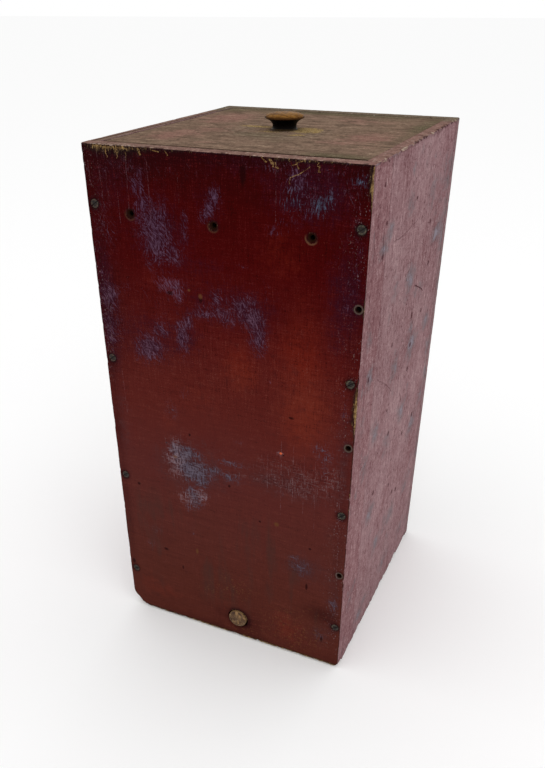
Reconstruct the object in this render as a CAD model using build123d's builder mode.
from build123d import *
import os
from math import cos, radians, sin, tan

# Wooden flour bin with a sifting trough in its base and a crank at the back.
# +Z is up, -Y is the front, +X is the right side seen from the front. The origin
# is the middle of the footprint on the plane the bin stands on. Millimetres.
#
# Plane.XZ faces -Y, so Plane.XZ.offset(-y) lies at y and a negative extrusion
# runs towards +Y.

SIDES = ((-1, "left"), (1, "right"))  # sign of X and name

# ---------------------------------------------------------------- case sizes
W, D, H = 254.0, 274.0, 502.0
FRONT_T, BACK_T, SIDE_T = 12.5, 12.0, 10.5
X_IN = W / 2 - SIDE_T                 # inner faces of the side boards
Y_FRONT, Y_BACK = -D / 2, D / 2       # outer faces of the end boards
Y_FRONT_IN, Y_BACK_IN = Y_FRONT + FRONT_T, Y_BACK - BACK_T
Y_IN_MID, DEPTH_IN = (Y_FRONT_IN + Y_BACK_IN) / 2, Y_BACK_IN - Y_FRONT_IN
EDGE_R = 1.0                          # eased outer edges
STRIP_JOINT_Y = -89.4                 # glue joint in the right side

# ------------------------------------------------------------------ lid sizes
LID_T, LID_RECESS = 12.0, 1.2
LID_TOP = H - LID_RECESS
LID_BOT = LID_TOP - LID_T
LID_X0, LID_X1 = -X_IN + 1.5, X_IN - 1.0
LID_Y0, LID_Y1 = Y_FRONT_IN + 0.7, Y_BACK_IN - 1.5
LID_EDGE_R = 1.2
KNOB_X, KNOB_Y = -1.8, 0.0
KNOB_R, KNOB_RIM_H, KNOB_H = 18.2, 10.3, 14.8
REST = 12.0                           # square section of the lid rests

# -------------------------------------------------------------- sifter sizes
AXIS_X, AXIS_Z = 9.0, 25.5            # agitator axis
FLOOR_T = 10.0
SLOT_R = 22.6                         # half width of the discharge slot
BLOCK_T, BLOCK_TOP, BLOCK_CHAMFER = 12.5, 44.5, 6.0
RAIL_W = 12.0
MESH_R, MESH_T = 22.0, 0.8
MESH_Y0, MESH_Y1 = Y_FRONT_IN + BLOCK_T, Y_BACK_IN - BLOCK_T
FLANGE_W, FLANGE_TOP = 11.6, AXIS_Z + MESH_T
HOPPER_T, HOPPER_DEG = 8.0, 50.0
HOPPER_ANGLE = radians(HOPPER_DEG)
HOPPER_DROP = HOPPER_T / cos(HOPPER_ANGLE)    # thickness measured along Z
HOPPER_TOP = {s: FLANGE_TOP + (X_IN - SLOT_R - s * AXIS_X) * tan(HOPPER_ANGLE)
              for s, _ in SIDES}              # top edge at the side board
CLEAT_W, CLEAT_H = 12.0, 32.0

# ----------------------------------------------------- agitator and crank sizes
SHAFT_R, BEARING_R, WALL_HOLE_R = 10.25, 10.5, 12.0
SHAFT_Y0, SHAFT_Y1, SHAFT_CHAMFER = Y_FRONT - 1.5, 153.5, 0.6
BAR_ORBIT, BAR_R, BAR_L = 18.5, 1.2, 196.0
SPOKE_L = 2 * (BAR_ORBIT - BAR_R)
WASHER_T, WASHER_R = 2.0, 16.0
FRONT_WASHER_Y, BACK_WASHER_Y = MESH_Y0 + 0.3, Y_BACK + 0.2
PIN_R, PIN_L = 1.6, 30.0
PIN_Y = FRONT_WASHER_Y + WASHER_T + PIN_R     # retaining pin, behind its washer
CROSS_R, CROSS_L = 2.0, 30.0

CRANK_THROW, ARM_T = 60.0, 12.0
ARM_HUB_R, ARM_END_R, ARM_EDGE_R = 17.0, 12.0, 2.0
ARM_Y0 = BACK_WASHER_Y + WASHER_T
ARM_Y1 = ARM_Y0 + ARM_T
CRANK_Z = AXIS_Z + CRANK_THROW
HANDLE_PIN_R, HANDLE_PIN_HEAD_R = 3.0, 6.0
HANDLE_WASHER_T, HANDLE_WASHER_R = 1.2, 7.0
GRIP_BORE_R, GRIP_L, GRIP_GAP = 3.2, 42.0, 0.2
GRIP_Y0 = ARM_Y1 + HANDLE_WASHER_T + GRIP_GAP
GRIP_Y1 = GRIP_Y0 + GRIP_L
HEAD_Y = GRIP_Y1 + GRIP_GAP

# ------------------------------------------------------------- fastener sizes
SCREW_R, SCREW_SINK, SCREW_SLOT_W = 1.9, 0.3, 1.0
CASE_HEAD_R, CASE_SCREW_L, CASE_TIP = 3.75, 32.0, 4.0
KNOB_HEAD_R, KNOB_SCREW_L, KNOB_TIP = 3.6, 22.5, 3.0
SPARE_HEAD_R, SPARE_SINK = 3.6, 1.9   # mouth of the empty countersunk holes
PILOT_R, PILOT_L = 2.1, 24.0
NAIL_R, NAIL_HEAD_R = 0.9, 1.7
NAIL_HEAD_T, NAIL_NECK, NAIL_TIP = 0.8, 1.4, 2.5

os.makedirs("parts", exist_ok=True)


# -------------------------------------------------------------------- helpers
def save(piece, name):
    piece.part.label = name
    export_step(piece.part, f"parts/{name}.step")


def cut(shape, places):
    """Takes copies of a shape out of the part being built."""
    with Locations(*places):
        add(shape, mode=Mode.SUBTRACT)


def placed(shape, places):
    """A piece made of copies of a shape."""
    with BuildPart() as copies:
        with Locations(*places):
            add(shape)
    return copies


def turned(*points):
    """A solid turned about Y from (radius, y) points."""
    with BuildPart() as solid:
        with BuildSketch(Plane.XY):
            with BuildLine():
                Polyline(*points, close=True)
            make_face()
        revolve(axis=Axis.Y)
    return solid.part


def plank(x, width, y0, y1, z0, height, cuts):
    """A box centred on x, less its (shape, places) cuts."""
    with BuildPart() as board:
        with BuildSketch(Plane.XY.offset(z0)):
            with Locations((x, (y0 + y1) / 2)):
                Rectangle(width, y1 - y0)
        extrude(amount=height)
        for shape, places in cuts:
            cut(shape, places)
    return board


def profiled_board(outline, cuts):
    """An (x, z) outline run between the end boards, less its cuts."""
    with BuildPart() as board:
        with BuildSketch(Plane.XZ.offset(-Y_FRONT_IN)):
            with BuildLine():
                Polyline(*outline, close=True)
            make_face()
        extrude(amount=-DEPTH_IN)
        for shape, places in cuts:
            cut(shape, places)
    return board


# ------------------------------------------- fasteners and holes, along +Y from 0
def screw_blank(head_r, length, tip):
    """A countersunk screw without its slot; y = 0 is the wood surface."""
    return turned(
        (0, SCREW_SINK), (head_r, SCREW_SINK),
        (SCREW_R, SCREW_SINK + head_r - SCREW_R),
        (SCREW_R, length - tip), (0, length))


def screw_room(blank, head_r):
    """The screw's own shape and the short cylinder over its head."""
    with BuildPart() as room:
        add(blank)
        with BuildSketch(Plane.XZ):
            Circle(head_r)
        extrude(amount=-SCREW_SINK)
    return room.part


def nail(length):
    return turned(
        (0, 0), (NAIL_HEAD_R, 0), (NAIL_HEAD_R, NAIL_HEAD_T),
        (NAIL_R, NAIL_NECK), (NAIL_R, length - NAIL_TIP), (0, length))


case_blank = screw_blank(CASE_HEAD_R, CASE_SCREW_L, CASE_TIP)
case_room = screw_room(case_blank, CASE_HEAD_R)

with BuildPart() as case_screw:
    add(case_blank)
    with BuildSketch(Plane.XZ.offset(-SCREW_SINK)):
        Rectangle(2 * CASE_HEAD_R + 1, SCREW_SLOT_W, rotation=35)
    extrude(amount=-0.9, mode=Mode.SUBTRACT)

spare_room = turned((0, 0), (SPARE_HEAD_R, 0), (SCREW_R, SPARE_SINK),
                    (SCREW_R, FRONT_T), (0, FRONT_T))

with BuildPart() as pilot_room:
    with BuildSketch(Plane.XZ):
        Circle(PILOT_R)
    extrude(amount=-PILOT_L)

cleat_nail = nail(17.5)               # also holds the lid rests
hopper_nail = nail(18.0)
toe_nail = nail(18.5)
floor_nail = nail(20.0)


# ------------------------------------------------------------ fastener places
def on_front(points):
    """Places on the front face from (x, z) points."""
    return [(x, Y_FRONT, z) for x, z in points]


def outward(s):
    """Rotation that turns +Y to s*X."""
    return (0, 0, -90 * s)


TURN_UP, TURN_DOWN = (90, 0, 0), (-90, 0, 0)  # rotations that turn +Y to +Z, -Z

front_screw_places = on_front([
    (120, 456), (119.5, 330), (119.8, 196), (121, 56),
    (-119.8, 454), (-119.8, 312), (-120, 180), (-119.8, 54)])
back_screw_places = [Location((s * 121, Y_BACK, z), (0, 0, 180))
                     for s, _ in SIDES for z in (54, 188, 322, 456)]
# Empty holes: small ones down the right edge, countersunk ones near the top.
pilot_places = on_front([(122, 395), (121.6, 269), (121.6, 125)])
spare_places = on_front([(-84.2, 448.6), (-5.2, 446.5), (80.4, 446)])

NAIL_YS = (-88.0, 0.0, 88.0)
CLEAT_NAIL_SHIFT = 20.0               # along Y, clear of the hopper nails
CLEAT_NAIL_RISE = 8.0                 # above the cleat's lower edge
HOPPER_NAIL_UP = 14.0                 # down the slope from the top edge
TOE_NAIL_X, TOE_NAIL_RISE = 4.4, 6.2  # out from the slot, above the flange
FLOOR_NAIL_X = 6.0                    # out from the slot

rest_nail_places = [Location((s * (X_IN - REST), y, LID_BOT - REST / 2), outward(s))
                    for s, _ in SIDES for y in NAIL_YS]
cleat_nail_places = [
    Location((s * (X_IN - CLEAT_W), y + CLEAT_NAIL_SHIFT,
              HOPPER_TOP[s] - HOPPER_DROP - CLEAT_H + CLEAT_NAIL_RISE), outward(s))
    for s, _ in SIDES for y in NAIL_YS]
# Outward and down, square to the hopper board.
hopper_nail_places = [
    Location((s * (X_IN - HOPPER_NAIL_UP * cos(HOPPER_ANGLE)), y,
              HOPPER_TOP[s] - HOPPER_NAIL_UP * sin(HOPPER_ANGLE)), outward(s))
    * Location((0, 0, 0), (HOPPER_DEG - 90, 0, 0))
    for s, _ in SIDES for y in NAIL_YS]
toe_nail_places = [
    Location((AXIS_X + s * (SLOT_R + TOE_NAIL_X), y, FLANGE_TOP + TOE_NAIL_RISE),
             TURN_DOWN)
    for s, _ in SIDES for y in (-75.0, 20.0, 90.0)]
floor_nail_places = [Location((AXIS_X + s * (SLOT_R + FLOOR_NAIL_X), y, 0.0), TURN_UP)
                     for s, _ in SIDES for y in (-100.0, 0.0, 100.0)]

# Each nail with its places.
rest_nails = (cleat_nail, rest_nail_places)
cleat_nails = (cleat_nail, cleat_nail_places)
hopper_nails = (hopper_nail, hopper_nail_places)
toe_nails = (toe_nail, toe_nail_places)
floor_nails = (floor_nail, floor_nail_places)


# ----------------------------------------------------------------- end boards
def ease_and_bore(board, y, thickness):
    """Eases the upright edges at the outer face y and bores the shaft hole."""
    fillet(board.edges().filter_by(Axis.Z).filter_by_position(
        Axis.Y, y - 0.1, y + 0.1), EDGE_R)
    with Locations((AXIS_X, y, AXIS_Z)):
        Cylinder(WALL_HOLE_R, 4 * thickness, rotation=(90, 0, 0),
                 mode=Mode.SUBTRACT)


# Front board with a ragged lower left corner and a small bevel at lower right.
with BuildPart() as front_board:
    with BuildSketch(Plane.XZ.offset(-Y_FRONT_IN)):
        with BuildLine():
            Polyline(
                (-W / 2, 20), (-122.6, 11.5), (-121.2, 12.4), (-116.5, 5.2),
                (-112.0, 0.0), (W / 2 - 4, 0), (W / 2, 4), (W / 2, H),
                (-W / 2, H), close=True)
        make_face()
    extrude(amount=FRONT_T)
    ease_and_bore(front_board, Y_FRONT, FRONT_T)
    cut(case_room, front_screw_places)
    cut(spare_room, spare_places)
    cut(pilot_room.part, pilot_places)
save(front_board, "front_board")

with BuildPart() as back_board:
    with BuildSketch(Plane.XZ.offset(-Y_BACK)):
        with Locations((0, H / 2)):
            Rectangle(W, H)
    extrude(amount=BACK_T)
    ease_and_bore(back_board, Y_BACK, BACK_T)
    cut(case_room, back_screw_places)
save(back_board, "back_board")


# ---------------------------------------------------------------- side boards
def side_board(s, y0, y1):
    return plank(s * (X_IN + SIDE_T / 2), SIDE_T, y0, y1, 0, H, [
        (case_blank, front_screw_places),
        (case_blank, back_screw_places),
        (pilot_room.part, pilot_places),
        (cleat_nail, rest_nail_places + cleat_nail_places),
        hopper_nails])


save(side_board(-1, Y_FRONT_IN, Y_BACK_IN), "left_side_board")
save(side_board(1, STRIP_JOINT_Y, Y_BACK_IN), "right_side_board")
save(side_board(1, Y_FRONT_IN, STRIP_JOINT_Y), "right_side_front_strip")

# --------------------------------------------------------------- bottom board
with BuildPart() as bottom_board:
    with BuildSketch(Plane.XY):
        with Locations((0, Y_IN_MID)):
            Rectangle(2 * X_IN, DEPTH_IN)
        with Locations((AXIS_X, (MESH_Y0 + MESH_Y1) / 2)):
            Rectangle(2 * SLOT_R, MESH_Y1 - MESH_Y0, mode=Mode.SUBTRACT)
    extrude(amount=FLOOR_T)
    cut(*floor_nails)
save(bottom_board, "bottom_board")


# --------------------------------------------- bearing blocks for the shaft
def bearing_block(y0):
    x0, x1 = AXIS_X - SLOT_R, AXIS_X + SLOT_R
    shoulder = BLOCK_TOP - BLOCK_CHAMFER
    with BuildPart() as block:
        with BuildSketch(Plane.XZ.offset(-y0)):
            with BuildLine():
                Polyline(
                    (x0, FLOOR_T), (x1, FLOOR_T),
                    (x1, shoulder), (x1 - BLOCK_CHAMFER, BLOCK_TOP),
                    (x0 + BLOCK_CHAMFER, BLOCK_TOP), (x0, shoulder),
                    close=True)
            make_face()
            with Locations((AXIS_X, AXIS_Z)):
                Circle(BEARING_R, mode=Mode.SUBTRACT)
        extrude(amount=-BLOCK_T)
    return block


save(bearing_block(Y_FRONT_IN), "bearing_block_front")
save(bearing_block(MESH_Y1), "bearing_block_back")

# -------------------------------- screen trough: a half tube with side flanges
UPPER_CUT = 80.0                      # square that removes the tube's upper half
with BuildPart() as screen_mesh:
    with BuildSketch(Plane.XZ.offset(-MESH_Y0)):
        with Locations((AXIS_X, AXIS_Z)):
            Circle(MESH_R + MESH_T / 2)
            Circle(MESH_R - MESH_T / 2, mode=Mode.SUBTRACT)
        with Locations((AXIS_X, AXIS_Z + UPPER_CUT / 2)):
            Rectangle(UPPER_CUT, UPPER_CUT, mode=Mode.SUBTRACT)
        for s, _ in SIDES:
            with Locations((AXIS_X + s * (MESH_R - MESH_T / 2 + FLANGE_W / 2),
                            AXIS_Z + MESH_T / 2)):
                Rectangle(FLANGE_W, MESH_T)
    extrude(amount=-(MESH_Y1 - MESH_Y0))
    cut(*toe_nails)
save(screen_mesh, "screen_mesh")


# ---------------------------------------------- paired boards inside the case
def screen_rail(s):
    """Rail beside the slot, under the screen flange."""
    return plank(AXIS_X + s * (SLOT_R + RAIL_W / 2), RAIL_W, Y_FRONT_IN, Y_BACK_IN,
                 FLOOR_T, AXIS_Z - FLOOR_T, [floor_nails, toe_nails])


def hopper_board(s):
    """Board sloping from the side board down to the slot."""
    tip = AXIS_X + s * SLOT_R
    foot = HOPPER_T / sin(HOPPER_ANGLE)   # width of the flat lower edge
    return profiled_board(
        [(tip, FLANGE_TOP), (s * X_IN, HOPPER_TOP[s]),
         (s * X_IN, HOPPER_TOP[s] - HOPPER_DROP), (tip + s * foot, FLANGE_TOP)],
        [hopper_nails, toe_nails])


def hopper_cleat(s):
    """Cleat on the side board, its top sloped to carry the hopper board."""
    top = HOPPER_TOP[s] - HOPPER_DROP
    x_wall, x_free = s * X_IN, s * (X_IN - CLEAT_W)
    return profiled_board(
        [(x_wall, top), (x_free, top - CLEAT_W * tan(HOPPER_ANGLE)),
         (x_free, top - CLEAT_H), (x_wall, top - CLEAT_H)],
        [cleat_nails, hopper_nails])


def lid_rest(s):
    """Square strip on the side board, under the lid."""
    return plank(s * (X_IN - REST / 2), REST, Y_FRONT_IN, Y_BACK_IN,
                 LID_BOT - REST, REST, [rest_nails])


for s, hand in SIDES:
    save(screen_rail(s), f"screen_rail_{hand}")
    save(hopper_board(s), f"hopper_board_{hand}")
    save(hopper_cleat(s), f"hopper_cleat_{hand}")
    save(lid_rest(s), f"lid_rest_{hand}")

# ----------------------------------------------------------- screws and nails
save(placed(case_screw.part, front_screw_places), "front_screws")
save(placed(case_screw.part, back_screw_places), "back_screws")
save(placed(*rest_nails), "lid_rest_nails")
save(placed(*cleat_nails), "cleat_nails")
save(placed(*hopper_nails), "hopper_nails")
save(placed(*toe_nails), "screen_nails")
save(placed(*floor_nails), "bottom_nails")

# ------------------------------------------------------------------------ lid
knob_screw_places = [Location((KNOB_X, KNOB_Y, LID_BOT), TURN_UP)]
knob_blank = screw_blank(KNOB_HEAD_R, KNOB_SCREW_L, KNOB_TIP)
knob_room = screw_room(knob_blank, KNOB_HEAD_R)

with BuildPart() as lid_panel:
    with BuildSketch(Plane.XY.offset(LID_BOT)):
        with Locations(((LID_X0 + LID_X1) / 2, (LID_Y0 + LID_Y1) / 2)):
            Rectangle(LID_X1 - LID_X0, LID_Y1 - LID_Y0)
    extrude(amount=LID_T)
    fillet(lid_panel.faces().sort_by(Axis.Z)[-1].edges(), LID_EDGE_R)
    cut(knob_room, knob_screw_places)
save(lid_panel, "lid_panel")

# Knob outline as (radius, height): waisted stem, rim, domed top.
with BuildPart() as knob_blank_turned:
    with BuildSketch(Plane.XZ):
        with BuildLine():
            Line((0, 0), (11.0, 0))
            Spline((11.0, 0), (10.4, 3.0), (10.6, 6.2), (13.4, 8.8),
                   (KNOB_R, KNOB_RIM_H))
            Spline((KNOB_R, KNOB_RIM_H), (17.2, 12.0), (12.6, 13.8),
                   (6.5, 14.6), (0, KNOB_H),
                   tangents=[(0.1, 1, 0), (-1, 0, 0)])
            Line((0, KNOB_H), (0, 0))
        make_face()
    revolve(axis=Axis.Z)
with BuildPart() as lid_knob:
    with Locations((KNOB_X, KNOB_Y, LID_TOP)):
        add(knob_blank_turned.part)
    cut(knob_blank, knob_screw_places)
save(lid_knob, "lid_knob")

with BuildPart() as lid_knob_screw:
    with Locations(*knob_screw_places):
        add(knob_blank)
    with BuildSketch(Plane.XY.offset(LID_BOT + SCREW_SINK)):
        with Locations((KNOB_X, KNOB_Y)):
            Rectangle(9, SCREW_SLOT_W, rotation=20)
    extrude(amount=0.8, mode=Mode.SUBTRACT)
save(lid_knob_screw, "lid_knob_screw")


# ------------------------------------------------------------------- agitator
def rod(radius, length, rotation=(0, 0, 0)):
    """A centred rod, upright unless rotated."""
    with BuildPart() as solid:
        Cylinder(radius, length, rotation=rotation)
    return solid.part


# Spokes through the shaft: y, turn about the shaft (0 upright, 90 level).
SPOKES = [(-90.0, 0), (-45.0, 90), (0.0, 0), (45.0, 90), (90.0, 0),
          (-84.0, 90), (-51.0, 0), (6.0, 90), (39.0, 0), (84.0, 90)]
spokes = (rod(BAR_R, SPOKE_L),
          [Location((AXIS_X, y, AXIS_Z), (0, turn, 0)) for y, turn in SPOKES])
retaining_pin = (rod(PIN_R, PIN_L), [Location((AXIS_X, PIN_Y, AXIS_Z))])
cross_pin = (rod(CROSS_R, CROSS_L, (0, 90, 0)),
             [Location((AXIS_X, (ARM_Y0 + ARM_Y1) / 2, AXIS_Z))])

with BuildPart() as agitator_shaft:
    with BuildSketch(Plane.XZ.offset(-SHAFT_Y0)):
        with Locations((AXIS_X, AXIS_Z)):
            Circle(SHAFT_R)
    extrude(amount=-(SHAFT_Y1 - SHAFT_Y0))
    chamfer(agitator_shaft.edges().filter_by(GeomType.CIRCLE), SHAFT_CHAMFER)
    cut(*spokes)
    cut(*retaining_pin)
    cut(*cross_pin)
save(agitator_shaft, "agitator_shaft")

with BuildPart() as agitator_bars:
    with BuildSketch(Plane.XZ.offset(BAR_L / 2)):
        with Locations((AXIS_X, AXIS_Z)):
            with PolarLocations(BAR_ORBIT, 4):
                Circle(BAR_R)
    extrude(amount=-BAR_L)
save(agitator_bars, "agitator_bars")

save(placed(*spokes), "agitator_spokes")
save(placed(*retaining_pin), "shaft_retaining_pin")
save(placed(*cross_pin), "crank_cross_pin")


def washer(y0, thickness, bore_r, outer_r, z):
    with BuildPart() as ring:
        with BuildSketch(Plane.XZ.offset(-y0)):
            with Locations((AXIS_X, z)):
                Circle(outer_r)
                Circle(bore_r, mode=Mode.SUBTRACT)
        extrude(amount=-thickness)
    return ring


save(washer(FRONT_WASHER_Y, WASHER_T, SHAFT_R, WASHER_R, AXIS_Z), "shaft_washer_front")
save(washer(BACK_WASHER_Y, WASHER_T, SHAFT_R, WASHER_R, AXIS_Z), "shaft_washer_back")
save(washer(ARM_Y1, HANDLE_WASHER_T, HANDLE_PIN_R, HANDLE_WASHER_R, CRANK_Z),
     "crank_handle_washer")

# ---------------------------------------------------------------------- crank
with BuildPart() as crank_arm:
    with BuildSketch(Plane.XZ.offset(-ARM_Y0)):
        with Locations((AXIS_X, AXIS_Z)):
            Circle(ARM_HUB_R)
        with Locations((AXIS_X, CRANK_Z)):
            Circle(ARM_END_R)
        make_hull()
        with Locations((AXIS_X, AXIS_Z)):
            Circle(SHAFT_R, mode=Mode.SUBTRACT)
        with Locations((AXIS_X, CRANK_Z)):
            Circle(HANDLE_PIN_R, mode=Mode.SUBTRACT)
    extrude(amount=-ARM_T)
    fillet(crank_arm.faces().sort_by(Axis.Y)[-1].outer_wire().edges(), ARM_EDGE_R)
    cut(*cross_pin)
save(crank_arm, "crank_arm")

# The handle pin and the grip are turned about Y, then raised to the crank's end.
handle_places = [(AXIS_X, 0, CRANK_Z)]
HEAD_TOP = HEAD_Y + 2.6

with BuildPart() as handle_pin:
    with BuildSketch(Plane.XY):
        with BuildLine():
            Line((0, ARM_Y0), (HANDLE_PIN_R, ARM_Y0))
            Line((HANDLE_PIN_R, ARM_Y0), (HANDLE_PIN_R, HEAD_Y))
            Line((HANDLE_PIN_R, HEAD_Y), (HANDLE_PIN_HEAD_R, HEAD_Y))
            Spline((HANDLE_PIN_HEAD_R, HEAD_Y), (5.6, HEAD_Y + 1.0),
                   (3.4, HEAD_Y + 2.2), (0, HEAD_TOP),
                   tangents=[(0, 1, 0), (-1, 0, 0)])
            Line((0, HEAD_TOP), (0, ARM_Y0))
        make_face()
    revolve(axis=Axis.Y)
save(placed(handle_pin.part, handle_places), "crank_handle_pin")

with BuildPart() as grip:
    with BuildSketch(Plane.XY):
        with BuildLine():
            Line((GRIP_BORE_R, GRIP_Y0), (8.0, GRIP_Y0))
            Spline((8.0, GRIP_Y0), (8.6, GRIP_Y0 + 5), (9.6, GRIP_Y0 + 15),
                   (11.6, GRIP_Y0 + 30), (10.4, GRIP_Y0 + 38), (7.4, GRIP_Y1))
            Line((7.4, GRIP_Y1), (GRIP_BORE_R, GRIP_Y1))
            Line((GRIP_BORE_R, GRIP_Y1), (GRIP_BORE_R, GRIP_Y0))
        make_face()
    revolve(axis=Axis.Y)
save(placed(grip.part, handle_places), "crank_handle")
